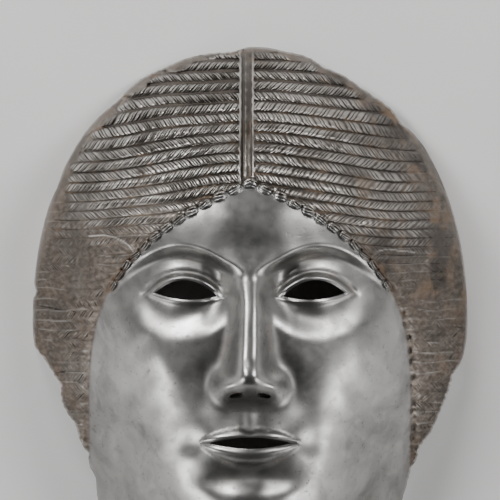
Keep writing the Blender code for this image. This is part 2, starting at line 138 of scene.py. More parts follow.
def smoothstep(low, high, value):
    share = np.clip((value - low) / (high - low), 0.0, 1.0)
    return share * share * (3.0 - 2.0 * share)


def bump(x, y, centre_x, centre_y, radius_x, radius_y, height):
    """A round swelling, or a hollow if height is negative."""
    return height * np.exp(-(((x - centre_x) / radius_x) ** 2) - ((y - centre_y) / radius_y) ** 2)


def waves(x, y, length, seed, count=9):
    """Smooth irregular noise of about unit size: plane waves of one length in many directions."""
    rng = np.random.default_rng(seed)
    turns, phases = rng.uniform(0, 2 * math.pi, (2, count))
    total = 0 * x
    for turn, phase in zip(turns, phases):
        total = total + np.sin(2 * math.pi * (x * math.cos(turn) + y * math.sin(turn)) / length + phase)
    return total / math.sqrt(count / 2)


def smooth_max(first, second, radius):
    return (first + second + np.sqrt((first - second) ** 2 + radius**2)) / 2.0


def through(points, value):
    """A smooth curve through a few (place, height) pairs, level beyond its ends."""
    place, height = np.array(sorted(points), float).T
    slope = np.gradient(height, place)
    slope[0] = slope[-1] = 0.0
    value = np.clip(value, place[0], place[-1])
    index = np.clip(np.searchsorted(place, value) - 1, 0, len(place) - 2)
    span = place[index + 1] - place[index]
    t = (value - place[index]) / span
    return (
        height[index] * (1 + 2 * t) * (1 - t) ** 2
        + height[index + 1] * t * t * (3 - 2 * t)
        + span * slope[index] * t * (1 - t) ** 2
        - span * slope[index + 1] * t * t * (1 - t)
    )


# The shell of hair and throat

WIDEST_Y = -0.010
BROW_Y = 0.025
EDGE_POWER = 2.15


def shell_half_width(y):
    """Half the width of the shell in its rest plane: round above, easing to the throat below."""
    rise = np.clip((y - WIDEST_Y) / (HALF_HEIGHT - WIDEST_Y), 0, 1)
    above = HALF_WIDTH * np.clip(1 - rise**EDGE_POWER, 1e-6, 1) ** (1 / EDGE_POWER)
    share = np.clip((WIDEST_Y - y) / (HALF_HEIGHT + WIDEST_Y), 0, 1)
    below = THROAT_WIDTH / 2 + (HALF_WIDTH - THROAT_WIDTH / 2) * (1 + np.cos(math.pi * share)) / 2
    return np.where(y > WIDEST_Y, above, below)


def shell_middle(y):
    """Height of the shell over its rest plane along the middle."""
    up = np.clip((y - BROW_Y) / (HALF_HEIGHT - BROW_Y), 0, 1)
    down = np.clip((BROW_Y - y) / (HALF_HEIGHT + BROW_Y), 0, 1)
    return DEPTH * (1 - up**2.8) - (DEPTH - THROAT_DEPTH) * down**2


def shell(x, y):
    """An arch across each height, fuller over the crown than at the throat."""
    fullness = 2.1 + 0.6 * smoothstep(0, 0.09, y)
    return shell_middle(y) * (1 - (np.abs(x) / shell_half_width(y)) ** fullness)


# The face, in units of U from the eye line, x always counted outwards from the middle


# (height on the face, height of the head over the rest plane) down the middle
HEAD_MIDDLE = [
    (125, -60), (90, 10), (70, 52), (58, 74), (46, 86), (22, 90), (0, 88), (-30, 85), (-60, 83), (-85, 81),
    (-98, 79.5), (-106, 76), (-112, 68), (-117, 52), (-121, 30), (-126, 5),
]
# (height on the face, half the width of its front)
HEAD_REACH = [(60, 76), (20, 74), (0, 73), (-20, 71), (-45, 67), (-70, 61), (-95, 54), (-126, 45)]
# (distance from the middle, height or depth)
BROW = [(0, 13), (10, 16), (22, 22), (35, 24.5), (50, 20), (62, 11), (74, -3)]
SOCKET_FOOT = [(0, -6), (12, -13), (20, -18), (32, -20), (46, -18), (58, -12), (72, -4)]
SOCKET_DEPTH = [(0, 1.5), (7, 4), (14, 11), (24, 9.5), (36, 7), (50, 4.5), (62, 1.6), (74, 0)]
# (height on the face, height of the nose over the head)
NOSE_HEIGHT = [
    (26, 0), (14, 1.8), (4, 5.4), (-8, 10.2), (-20, 14.6), (-30, 18.2), (-37, 20.4), (-41, 20.2),
    (-44.5, 17.4), (-47.5, 12.2), (-50, 7), (-53, 2.4), (-57, 0),
]
# (height on the face, half the width of the nose)
NOSE_HALF = [(26, 15), (12, 8.5), (2, 6.6), (-16, 7.4), (-30, 9.0), (-42, 10.2), (-52, 11.0)]
EYE_X = 31.0
EYE_RISE, EYE_FALL = 0.74, 0.26
EYE_TILT = 0.05
MOUTH_Y = -71.5


def head_form(x, y):
    """The face without features: a level front that curves back to the cheeks and in to the chin."""
    share = x / through(HEAD_REACH, y)
    return through(HEAD_MIDDLE, y) - 42 * share**2.4 - 300 * np.clip(share - 1, 0, None) ** 2


def socket(x, y):
    """The hollow under the brow, crisp above and soft towards the cheek."""
    under_brow = smoothstep(0, 7, through(BROW, x) - y)
    over_cheek = smoothstep(-3, 19, y - through(SOCKET_FOOT, x))
    return -through(SOCKET_DEPTH, x) * under_brow * over_cheek


def lens(x, y, width, rise, fall):
    """Distance outside an almond of this width, with rise above its middle line and fall below."""
    upper = (width**2 / 4 + rise**2) / (2 * rise)
    lower = (width**2 / 4 + fall**2) / (2 * fall)
    return np.maximum(np.hypot(x, y - (rise - upper)) - upper, np.hypot(x, y + (fall - lower)) - lower)


def eye_distance(x, y):
    along = x - EYE_X
    rise, fall = EYE_RISE * EYE_OPENING_HEIGHT / U, EYE_FALL * EYE_OPENING_HEIGHT / U
    return lens(along, y - EYE_TILT * along, EYE_OPENING_WIDTH / U, rise, fall)


def eye(x, y):
    """Eyeball under the lids, the lids' raised edges and the crease above the upper lid."""
    away = eye_distance(x, y)
    upper = smoothstep(-1.5, 1.5, y)
    ball = bump(x, y, EYE_X, 0.5, 15, 9.5, 7.0)
    rim = (0.9 + 0.5 * upper) * np.exp(-(((away - 1.3) / 1.2) ** 2))
    crease = -1.0 * upper * np.exp(-(((away - 4.0) / 1.0) ** 2))
    return ball + rim + crease


def nose(x, y):
    """A straight ridge from the brow to a round tip, with a wing on each side."""
    ridge = through(NOSE_HEIGHT, y) * np.exp(-((x / through(NOSE_HALF, y)) ** 2) ** 1.5)
    tip = bump(x, y, 0, -39.5, 7.0, 7.0, 2.4)
    wing = bump(x, y, 12.6, -44.0, 5.2, 6.0, 9.6)
    groove = bump(x, y, 19.5, -42, 3.6, 7, -1.2)
    return ridge + tip + wing + groove


def lips(x, y):
    """Two swellings that meet at the mouth, with a bow in the upper border."""
    taper = np.clip(1 - (x / 25.0) ** 2, 0, 1)
    top = MOUTH_Y + 7.6 * taper**0.8 - 1.2 * np.exp(-((x / 3.2) ** 2))
    bottom = MOUTH_Y - 11.5 * taper**0.9
    above = np.clip((y - MOUTH_Y) / np.maximum(top - MOUTH_Y, 0.1), 0, 1)
    below = np.clip((MOUTH_Y - y) / np.maximum(MOUTH_Y - bottom, 0.1), 0, 1)
    upper = 2.6 * taper**0.6 * np.sin(math.pi * above) ** 0.9
    lower = 4.2 * taper**0.7 * np.sin(math.pi * below) ** 0.9
    return upper + lower


def around_mouth(x, y):
    muzzle = bump(x, y, 0, -70, 28, 18, 4.5)
    between = smoothstep(-68, -62, y) * (1 - smoothstep(-55, -50, y))
    philtrum = -0.7 * between * np.exp(-((x / 3.2) ** 2))
    corner = bump(x, y, 29.0, MOUTH_Y - 0.5, 6.5, 5.5, -1.5)
    fold = bump(x, y, 0, -88.5, 20, 6.6, -2.6)
    chin = bump(x, y, 0, -102, 20, 12, 4.2)
    return muzzle + philtrum + corner + fold + chin


def cheeks_and_temples(x, y):
    swellings = [(46, -34, 22, 22, 4), (60, -16, 14, 12, 2), (38, -74, 18, 24, 2), (66, 20, 14, 16, -2)]
    return sum(bump(x, y, *swelling) for swelling in swellings)


def face(x, y):
    """Height of the features over the head form, at points in units of U."""
    features = (socket, eye, nose, lips, around_mouth, cheeks_and_temples)
    return sum(feature(x, y) for feature in features)


def in_face_units(x, y):
    return np.abs(x) / U, (y - EYE_LINE) / U


def form(x, y):
    """The mask without its hair relief."""
    u, v = in_face_units(x, y)
    inside = 1 - smoothstep(-FACE_BLEND, FACE_BLEND, hairline_distance(x, y))
    return smooth_max(shell(x, y), U * head_form(u, v), FACE_BLEND) + inside * U * face(u, v)


# The hairline, a pointed arch from a peak on the forehead down to the jaw

HAIRLINE_PEAK = 0.0575
HAIRLINE_FOOT = -0.068
HAIRLINE_POWER = 3.8
HAIRLINE_SPREAD = 0.52 * FACE_WIDTH
BEADS_END = 0.006
BEAD_HALF_LENGTH = 0.47 * BEAD_PITCH
BEAD_TAPER = 0.18


def hairline_share(y):
    return np.clip((y - HAIRLINE_FOOT) / (HAIRLINE_PEAK - HAIRLINE_FOOT), 0, 2)


def hairline_half_width(y):
    return HAIRLINE_SPREAD * (1 - hairline_share(y) ** HAIRLINE_POWER)


def hairline_slope(y):
    rate = HAIRLINE_POWER / (HAIRLINE_PEAK - HAIRLINE_FOOT)
    return -HAIRLINE_SPREAD * rate * hairline_share(y) ** (HAIRLINE_POWER - 1)


def hairline_distance(x, y):
    """About how far a point lies outside the hairline."""
    return (np.abs(x) - hairline_half_width(y)) / np.sqrt(1 + hairline_slope(y) ** 2)


def hairline_points(pitch, low, offset=0.0, taper=0.0):
    """Places along one side of the hairline from its peak down, and its direction there. A taper
    makes the distances between them that share longer at the peak and shorter at the end."""
    y = np.linspace(HAIRLINE_PEAK, low, 2000)
    x = hairline_half_width(y)
    length = np.concatenate([[0], np.cumsum(np.hypot(np.diff(x), np.diff(y)))])
    share = np.arange(0, length[-1], pitch) / length[-1]
    y = np.interp(length[-1] * share * (1 + taper * (1 - share)), length, y)
    slope = hairline_slope(y)
    along = np.stack([slope, np.ones_like(y)], 1) / np.sqrt(1 + slope**2)[:, None]
    outward = np.stack([along[:, 1], -along[:, 0]], 1)
    return np.stack([hairline_half_width(y), y], 1) + offset * outward, along


def bead_string():
    """The place, direction and size of each bead on one side, the largest at the hairline's peak."""
    places, directions = hairline_points(BEAD_PITCH, BEADS_END, taper=BEAD_TAPER)
    return list(zip(places, directions, np.linspace(1 + BEAD_TAPER, 1 - BEAD_TAPER, len(places))))


# The broken edge: millimetres of metal lost on each side, by degrees above the widest line

LEFT_LOSS = [
    (-60, 0), (-50, 0.6), (-45, 4.2), (-41.5, 3.6), (-39.5, 5.2), (-35, 4.4), (-32, 5.8), (-26, 4.6),
    (-21.5, 5.2), (-18.5, 7.4), (-15, 5.8), (-10.5, 3.6), (-6.5, 0), (6, 0.1), (8, 1.2), (10, 0), (30, 0),
    (36, 0.6), (40, 0), (52, 0.4), (58, 1.6), (66, 0.6), (72, 1.3), (77, 1.0), (83, 1.4), (87, 1.8), (90, 0),
]
RIGHT_LOSS = [
    (-60, 0), (-50, 1.2), (-45, 1.8), (-42.5, 2.4), (-39, 2.1), (-36, 3.1), (-33, 1.8), (-25, 1.6),
    (-19, 1.9), (-15.5, 2.5), (-10, 0.3), (-5, 0), (45, 0), (50, 1.2), (53, 2.6), (56, 1.6), (60, 2.6),
    (64, 3.4), (70, 3.0), (74, 3.4), (77, 1.4), (83, 0.8), (87, 0), (90, 0),
]


def metal_lost(x, y):
    """How much metal the edge has lost, towards which a point lies from the widest line's centre."""
    above = np.degrees(np.arctan2(y - WIDEST_Y, np.abs(x)))
    return 0.001 * np.clip(np.where(x < 0, through(LEFT_LOSS, above), through(RIGHT_LOSS, above)), 0, None)


# Cracks in the sheet and raised lines that bend from a row to the beads: runs of points in millimetres

CRACKS = [
    [(-105.5, -1.8), (-101, -2.6), (-96.5, -3.2)],
    [(-95, -3.9), (-91.5, -4.4), (-89.5, -4.2)],
    [(-97.5, -34.5), (-93.5, -35.0), (-90.5, -34.4)],
    [(-86, -5.0), (-82.5, -5.2)],
    [(103.5, -13.0), (100.5, -12.5)],
]
BENT_LINES = [
    [(-78, 31.6), (-71, 32.2), (-65.5, 31.2), (-61, 29), (-57.5, 26), (-55, 22.5)],
    [(62, 24.5), (67, 25.5), (73, 24.5), (80, 24)],
]


def distance_to_runs(x, y, runs):
    nearest = np.full_like(x, 1.0)
    for run in runs:
        for start, end in zip(run, run[1:]):
            (ax, ay), (bx, by) = np.array(start) * 0.001, np.array(end) * 0.001
            length = math.hypot(bx - ax, by - ay)
            share = np.clip(((x - ax) * (bx - ax) + (y - ay) * (by - ay)) / length**2, 0, 1)
            nearest = np.minimum(nearest, np.hypot(x - ax - share * (bx - ax), y - ay - share * (by - ay)))
    return nearest


# Relief of the hair over the form

FIRST_ROW_Y = 0.1174
BENT_ROWS = 22
ROW_DROP = 0.009
ROW_DROP_REACH = 0.080
PARTING_X = -0.0017
CHANNEL_EDGE = (-0.0012, 0.0006)
LIP_PLACE, LIP_WIDTH, LIP_RELIEF = 0.0006, 0.0005, 0.00022
CHASED_PLACE, CHASED_WIDTH, CHASED_DEPTH = 0.0014, 0.0006, 0.0004
ROW_END = 0.0022
EDGE_FADE = 0.002
MOST_LEAN = 2.4


def row_drop(x, y):
    """How far a row that passes here has come down from its height at the parting."""
    down = np.clip((FIRST_ROW_Y - y) / (BENT_ROWS * PLAIT_PITCH), 0, 1)
    return ROW_DROP * np.sin(math.pi * down) * smoothstep(0, ROW_DROP_REACH, np.abs(x - PARTING_X))


def row_wobble(x, y):
    """How far the hand that chased a row has strayed from its even course."""
    return PLAIT_PITCH * ROW_WOBBLE * waves(x, y, 0.048, 3)


def row_number(x, y):
    return (FIRST_ROW_Y - y - row_drop(x, y) + row_wobble(x, y)) / PLAIT_PITCH


def row_y(row, x):
    at_parting = FIRST_ROW_Y - row * PLAIT_PITCH + 0 * x
    y = at_parting
    for _ in range(ROUNDS):
        y = at_parting - row_drop(x, y) + row_wobble(x, y)
    return y


def edge_distance(x, y):
    """About how far a point lies inside the unbroken edge of the mask."""
    step = 1e-4
    slope = (shell_half_width(y + step) - shell_half_width(y - step)) / (2 * step)
    return (shell_half_width(y) - np.abs(x)) / np.sqrt(1 + slope**2)


def parting_distance(x):
    return np.abs(x - PARTING_X) - PARTING_WIDTH / 2


def stroke_slant(row):
    """Which way the strokes of a row lean, and how far: rows lean by turns right and left."""
    turn = 1 - 2 * (np.floor(row) % 2)
    return turn * (0.95 + 0.18 * np.sin(7.3 * np.floor(row)))


def stroke_spacing(row, side):
    crown = 1 - smoothstep(3, 6, np.floor(row))
    right = STROKE_SPACING_RIGHT + (STROKE_SPACING_LEFT - STROKE_SPACING_RIGHT) * 0.7 * crown
    return np.where(side < 0, STROKE_SPACING_LEFT, right) * (1 + 0.10 * np.sin(5.1 * np.floor(row)))


def stroke_drift(number, row):
    """How far the hand has strayed from even strokes along a row."""
    return 0.22 * np.sin(1.9 * number + 2.3 * np.floor(row)) + 0.7 * np.sin(0.21 * number + np.floor(row))


def stroke_lean(row):
    """How far a stroke has moved along its row at a place across it. It bends towards the row's edges."""
    up = 0.5 - row % 1
    return stroke_slant(row) * PLAIT_PITCH * up * (0.75 + 1.6 * up**2)


def stroke_number(x, row):
    """Counts the strokes along a row, at a place across it."""
    even = (x - PARTING_X - stroke_lean(row)) / stroke_spacing(row, np.sign(x - PARTING_X))
    return even + stroke_drift(even, row)


def stroke_x(number, row, side):
    even = number
    for _ in range(ROUNDS):
        even = number - stroke_drift(even, row)
    return PARTING_X + even * stroke_spacing(row, side) + stroke_lean(row)


def from_rim(x, y):
    """From 0 at the rim, where the hair is rubbed flat, to 1 inside, nearest the rim on the left above."""
    right = 0.004 + 0.020 * smoothstep(-0.02, 0.01, y) - 0.012 * smoothstep(0.07, 0.1, y)
    reach = np.where(x < 0, 0.012 - 0.008 * smoothstep(0.04, 0.08, y), right)
    return smoothstep(0.2 * reach, reach, edge_distance(x, y) + 0.003 * waves(x, y, 0.021, 43))


def crispness(x, y):
    """From 0 where the chasing is rubbed away to 1 where it is crisp: least at the sides of the face."""
    patches = smoothstep(-2.6, 0.0, waves(x, y, 0.038, 11) + 0.8 * waves(x, y, 0.011, 12))
    patches = patches + (1 - patches) * 0.7 * smoothstep(0.03, 0.07, y)
    foot = np.where(x < 0, CRISP_FOOT_LEFT, CRISP_FOOT_RIGHT)
    kept = 0.12 + 0.6 * smoothstep(-0.2, 0.9, waves(x, y, 0.030, 14))
    kept = np.maximum(kept, 0.75 * smoothstep(0.084, 0.09, x) * smoothstep(0.0, -0.02, y))
    crisp = kept + (1 - kept) * smoothstep(foot, foot + CRISP_RISE, y)
    return patches * crisp * (0.15 + 0.85 * from_rim(x, y)) * np.where(x < 0, 1, RIGHT_KEPT)


def row_height(x, y):
    """How high the rows still stand: full over the crown, low and worn at the sides of the face."""
    foot = np.where(x < 0, HIGH_FOOT_LEFT, HIGH_FOOT_RIGHT)
    low = 0.15 + 0.07 * waves(x, y, 0.02, 44)
    high = low + (1 - low) * smoothstep(foot, foot + HIGH_RISE, y)
    return high * (0.3 + 0.7 * from_rim(x, y)) * np.where(x < 0, 1, 0.5 + 0.5 * RIGHT_KEPT)


def border_share(x, y):
    """From 0 on the smooth border along the rim to 1 on the hair. Each row ends round."""
    wide = SMOOTH_BORDER * (0.35 + 0.65 * smoothstep(-0.01, 0.04, y)) * np.where(x > 0.05, 0.75, 1)
    lost = smoothstep(0, 0.03, y) * metal_lost(x, y)
    ends = ROW_END * (1 - np.sin(math.pi * (row_number(x, y) % 1)))
    inside = edge_distance(x, y) - lost - ends + 0.0006 * waves(x, y, 0.009, 41)
    return smoothstep(0.55 * wide, 1.15 * wide, inside)


def cord(part):
    """The round section of a plait over its pitch, with a narrow groove between it and the next."""
    return np.clip(1 - ((part - 0.5) / CORD_SHARE) ** 2, 0, 1) ** 0.75


def drawn_line(x, y):
    """Thin raised lines between the rows, where these are worn flat."""
    row = row_number(x, y) + 0.07 * waves(x, y, 0.022, 47)
    away = ((row + 0.5) % 1 - 0.5 - 0.09) * PLAIT_PITCH / LINE_WIDTH
    broken = waves(0.4 * x, y, 0.024, 45) + 0.7 * waves(x, y, 0.011, 46)
    drawn = smoothstep(-0.3, 1.4, broken) * (1 - row_height(x, y))
    bent = np.exp(-((distance_to_runs(x, y, BENT_LINES) / LINE_WIDTH) ** 2))
    return np.maximum(drawn * np.exp(-(away**2)), 2 * bent)


def plaits(x, y):
    """Round cords between grooves, crossed by slanting strokes, and thin raised lines between them."""
    row = row_number(x, y)
    body = cord(row % 1)
    high = row_height(x, y)
    ridge = FINE_PLAIT_RELIEF * high * (body - 1)
    number = stroke_number(x, row)
    cut = np.abs(2 * (number % 1) - 1) ** 1.7
    firm = 0.75 + 0.25 * np.sin(2.4 * np.round(number) + 3.1 * np.floor(row))
    stroke = -STROKE_DEPTH * firm * (0.15 + 0.85 * crispness(x, y)) * cut * (0.2 + 0.8 * body)
    share = border_share(x, y)
    border = 0.6 * FINE_PLAIT_RELIEF * high * (1 - share)
    lock = (ridge + stroke + LINE_RELIEF * drawn_line(x, y)) * share - border
    return lock * smoothstep(0, 0.0016, parting_distance(x))


def parting(x):
    """A channel with a round lip on each side and a chased line along its left half."""
    away = parting_distance(x)
    channel = -PARTING_DEPTH * (1 - smoothstep(*CHANNEL_EDGE, away))
    lip = LIP_RELIEF * np.exp(-(((away - LIP_PLACE) / LIP_WIDTH) ** 2))
    line = -CHASED_DEPTH * np.exp(-(((x - PARTING_X + CHASED_PLACE) / CHASED_WIDTH) ** 2))
    return channel + lip + line


def bead_ribs(number):
    """How many ribs a bead has, and how far they twist round it from end to end."""
    return 3 + number % 2, 0.35 * np.sin(2.6 * number)


def beads(x, y):
    """Ovals strung along the hairline, each with ribs along it like a few twists of cord."""
    relief = np.zeros_like(x)
    for number, ((bead_x, bead_y), (along_x, along_y), size) in enumerate(bead_string()):
        dx, dy = np.abs(x) - bead_x, y - bead_y
        along = (dx * along_x + dy * along_y) / (size * BEAD_HALF_LENGTH)
        across = (dx * along_y - dy * along_x) / (size * BEAD_WIDTH / 2)
        dome = np.clip(1 - np.abs(along) ** 2.4 - across**2, 0, 1)
        count, twist = bead_ribs(number)
        ribs = np.abs(np.cos(math.pi * count / 2 * (across - twist * along))) ** 0.5
        height = BEAD_RELIEF * (1 + 0.2 * np.sin(4.7 * number)) * np.sqrt(dome)
        relief = np.maximum(relief, height - BEAD_RIB_DEPTH * (1 - ribs) * dome**0.3)
    return relief


def punches(x, y):
    """Dents of uneven size along the foot of the hair, below the beads."""
    places, directions = hairline_points(PUNCH_PITCH, HAIRLINE_FOOT, 0.0009)
    relief = np.zeros_like(x)
    for number, ((place_x, place_y), (along_x, along_y)) in enumerate(zip(places, directions)):
        if place_y > BEADS_END - BEAD_PITCH:
            continue
        for side in (-1, 1):
            turn = 5.3 * number + side
            dx = side * x - place_x - 0.0008 * np.sin(1.7 * turn)
            dy = y - place_y - 0.0012 * np.sin(2.9 * turn)
            along = (dx * along_x + dy * along_y) / (PUNCH_LENGTH / 2)
            across = (dx * along_y - dy * along_x) / (PUNCH_WIDTH / 2)
            firm = (0.72 + 0.28 * np.sin(turn)) * (0.6 + 0.4 * side)
            relief = relief - PUNCH_DEPTH * firm * np.exp(-(along**2) - across**2)
    return relief


def cracks(x, y):
    return -CRACK_DEPTH * np.exp(-((distance_to_runs(x, y, CRACKS) / CRACK_WIDTH) ** 2))


def dents(x, y):
    """The slight unevenness of a hammered sheet."""
    return DENT_DEPTH * (waves(x, y, 0.026, 21) + 0.5 * waves(x, y, 0.013, 22))


def lumps(x, y):
    """Small uneven places all over the chased metal, most where it is worn."""
    fine = waves(x, y, 0.0046, 51) + 0.7 * waves(x, y, 0.0027, 52)
    streaks = waves(0.25 * x, y, 0.0034, 53)
    return LUMP_DEPTH * (fine * (1.5 - 0.8 * crispness(x, y)) + 3.0 * streaks * (1 - row_height(x, y)))


def step_share(x, y):
    """The step from the face up to the hair: steep under the beads, easing out below them."""
    wide = 0.0016 + 0.0036 * (1 - smoothstep(BEADS_END - 0.004, BEADS_END + 0.008, y))
    return smoothstep(0, wide, hairline_distance(x, y))


def hair(x, y, stretch):
    lock = step_share(x, y) * (HAIR_STEP + stretch * plaits(x, y) + parting(x) + lumps(x, y))
    return lock + beads(x, y) + punches(x, y)


def form_slopes(x, y):
    """How steeply the form rises to the right and upwards."""
    step = 1e-4
    slope_x = (form(x + step, y) - form(x - step, y)) / (2 * step)
    slope_y = (form(x, y + step) - form(x, y - step)) / (2 * step)
    return slope_x, slope_y


def lean(slope_x, slope_y):
    """How much longer than in plan a sheet with these slopes is, as far as the relief follows that."""
    return np.clip(np.sqrt(1 + slope_x**2 + slope_y**2), 1, MOST_LEAN)


def edge_fade(x, y):
    """From 0 on the edge, where the sheet meets the ground, to 1."""
    return smoothstep(0, EDGE_FADE, edge_distance(x, y))


def surface(x, y):
    """Height of the outer skin. The relief stands along the form's normal, and the plaits keep
    their proportions where the form leans back and their rows lie further apart."""
    slope_x, slope_y = form_slopes(x, y)
    relief = hair(x, y, lean(0, slope_y)) + cracks(x, y) + dents(x, y)
    return form(x, y) + lean(slope_x, slope_y) * edge_fade(x, y) * relief


def underside(x, y):
    """The inner skin: the form and its rows without the fine chasing, one sheet's thickness in."""
    slope_x, slope_y = form_slopes(x, y)
    covered = smoothstep(-EDGE_FADE, EDGE_FADE, hairline_distance(x, y))
    rows = -0.5 * PLAIT_RELIEF * row_height(x, y) * (1 + np.cos(2 * math.pi * row_number(x, y))) / 2
    share = lean(slope_x, slope_y) * edge_fade(x, y) * covered
    height = form(x, y) + share * (HAIR_STEP + rows * border_share(x, y))
    long = np.sqrt(1 + slope_x**2 + slope_y**2)
    inner_x, inner_y = x + SHEET * slope_x / long, y + SHEET * slope_y / long
    return np.stack([inner_x, inner_y, np.maximum(height - SHEET / long, 0)], 1)


def contour_radius(angle):
    """How far the shell's unbroken edge lies from the centre of its widest line, along each angle."""
    low, high = np.zeros_like(angle), np.full_like(angle, WIDTH)
    for _ in range(HALVINGS):
        middle = (low + high) / 2
        x, y = middle * np.cos(angle), WIDEST_Y + middle * np.sin(angle)
        inside = (np.abs(x) < shell_half_width(y)) & (np.abs(y) < HALF_HEIGHT)
        low, high = np.where(inside, middle, low), np.where(inside, high, middle)
    return low


def outline(step):
    """The broken edge as a loop of points, frayed where metal is lost, with the throat's corners in it."""
    corner = math.atan2(-HALF_HEIGHT - WIDEST_Y, THROAT_WIDTH / 2)
    count = round(math.pi * (HALF_WIDTH + HALF_HEIGHT) / step)
    turn = np.linspace(corner, corner + 2 * math.pi, count, endpoint=False)
    across = math.pi - corner
    turn = np.sort(np.append(turn[np.abs(turn - across) > 0.5 / count], across))
    loss = metal_lost(np.cos(turn), WIDEST_Y + np.sin(turn))
    fray = waves(HALF_WIDTH * np.cos(turn), HALF_WIDTH * np.sin(turn), 0.0042, 31)
    loss = loss + FRAY * np.abs(fray) * smoothstep(0, 0.0012, loss)
    radius = contour_radius(turn) - loss
    return np.stack([radius * np.cos(turn), WIDEST_Y + radius * np.sin(turn)], 1)


def lens_loop(centre_x, centre_y, tilt, width, rise, fall, count):
    """An almond's edge as a loop of points, in units of U."""
    t = np.linspace(-1, 1, count + 1)[:-1]
    top = np.stack([-t * width / 2, rise * (1 - t**2)], 1)
    low = np.stack([t * width / 2, -fall * (1 - t**2)], 1)
    loop = np.concatenate([top, low])
    loop[:, 1] += tilt * loop[:, 0]
    return loop + [centre_x, centre_y]


# The plan of a skin: loops, lines and loose points in the XY plane, joined into triangles


def inside_loop(points, loop):
    """Which points lie inside a closed loop."""
    ax, ay = loop.T
    bx, by = np.roll(loop, -1, axis=0).T
    rise = np.where(by == ay, 1, by - ay)
    found = []
    for part in np.array_split(points, 1 + len(points) // BATCH):
        x, y = part[:, :1], part[:, 1:]
        reach = ax + (y - ay) * (bx - ax) / rise
        found.append((((ay > y) != (by > y)) & (x < reach)).sum(axis=1) % 2 == 1)
    return np.concatenate(found)


class Plan:
    def __init__(self, edge, holes):
        self.points = []
        self.edges = []
        self.edge = edge
        self.holes = holes
        for loop in [edge, *holes]:
            self.add(loop, closed=True)

    def add(self, points, closed=False):
        """A line of points whose segments stay edges of the mesh."""
        first = len(self.points)
        self.points += [Vector(p) for p in points]
        self.edges += [(first + i, first + i + 1) for i in range(len(points) - 1)]
        if closed:
            self.edges.append((len(self.points) - 1, first))

    def keeps(self, points):
        """Which points lie on the sheet."""
        kept = inside_loop(points, self.edge)
        for hole in self.holes:
            kept &= ~inside_loop(points, hole)
        return kept

    def clear(self, points, gap):
        """Which of these points are on the sheet and no nearer than gap to what is there already."""
        tree = KDTree(len(self.points))
        for index, point in enumerate(self.points):
            tree.insert((point.x, point.y, 0), index)
        tree.balance()
        apart = [tree.find((x, y, 0))[2] > gap for x, y in points]
        return self.keeps(points) & np.array(apart, bool)

    def add_clear_lines(self, lines, gap):
        """The runs of several lines that are clear of what is there already."""
        clear = self.clear(np.concatenate(lines), gap)
        ends = np.cumsum([len(line) for line in lines])
        for line, kept in zip(lines, np.split(clear, ends[:-1])):
            for run in np.split(np.arange(len(line)), np.flatnonzero(np.diff(kept)) + 1):
                if len(run) and kept[run[0]]:
                    self.add(line[run])

    def scatter(self, step, where):
        """A staggered lattice over the part of the sheet that where() picks, clear of what is there."""
        rows = np.arange(-HALF_HEIGHT, HALF_HEIGHT, step * math.sqrt(3) / 2)
        across = np.arange(-HALF_WIDTH, HALF_WIDTH, step)
        x, y = np.meshgrid(across, rows)
        x[1::2] += step / 2
        points = np.stack([x.ravel(), y.ravel()], 1)
        points = points[where(points[:, 0], points[:, 1])]
        self.points += [Vector(p) for p in points[self.clear(points, SCATTER_GAP * step)]]

    def triangles(self):
        """The points, the triangles on the sheet, and the edge's and holes' loops of point numbers."""
        found, _, faces, came_from, *_ = delaunay_2d_cdt(self.points, self.edges, [], 0, 1e-7, True)
        place = {first: index for index, firsts in enumerate(came_from) for first in firsts}
        found = np.array(found)
        faces = np.array(faces)
        faces = faces[self.keeps(found[faces].mean(axis=1))]
        loops, start = [], 0
        for loop in [self.edge, *self.holes]:
            loops.append([place[start + i] for i in range(len(loop))])
            start += len(loop)
        return found, faces, loops


def both_sides(line):
    return [line, line * [-1, 1]]


def eye_loop(grow, count):
    width = EYE_OPENING_WIDTH / U + 2.6 * grow
    rise, fall = EYE_RISE * EYE_OPENING_HEIGHT / U + grow, EYE_FALL * EYE_OPENING_HEIGHT / U + grow
    return lens_loop(EYE_X, 0, EYE_TILT, width, rise, fall, count) * U + [0, EYE_LINE]


def mouth_loop(grow, count):
    width, height = MOUTH_OPENING_WIDTH / U + 2 * grow, MOUTH_OPENING_HEIGHT / U + 2 * grow
    return lens_loop(0, MOUTH_Y, 0, width, height / 2, height / 2, count) * U + [0, EYE_LINE]


NOSTRIL_X, NOSTRIL_Y, NOSTRIL_TILT = 6.6, -48.6, -0.15


def nostril_loop(count):
    t = np.linspace(0, 2 * math.pi, count, endpoint=False)
    x, y = NOSTRIL_WIDTH / 2 * np.cos(t), NOSTRIL_HEIGHT / 2 * np.sin(t)
    return np.stack([x, y + NOSTRIL_TILT * x], 1) + [NOSTRIL_X * U, NOSTRIL_Y * U + EYE_LINE]


def openings():
    return [mouth_loop(0, 40), *both_sides(eye_loop(0, 32)), *both_sides(nostril_loop(18))]


def add_face_lines(plan):
    for grow in EYE_RINGS:
        plan.add_clear_lines(both_sides(eye_loop(grow, 34)), FEATURE_GAP)
    for grow in MOUTH_RINGS:
        plan.add_clear_lines([mouth_loop(grow, 40)], FEATURE_GAP)
    u = np.arange(6, 74, 1.1)
    lines = []
    for drop in np.arange(-2.0, 8.0, 0.9):
        lines += both_sides(np.stack([u, through(BROW, u) - drop], 1) * U + [0, EYE_LINE])
    plan.add_clear_lines(lines, BROW_GAP)


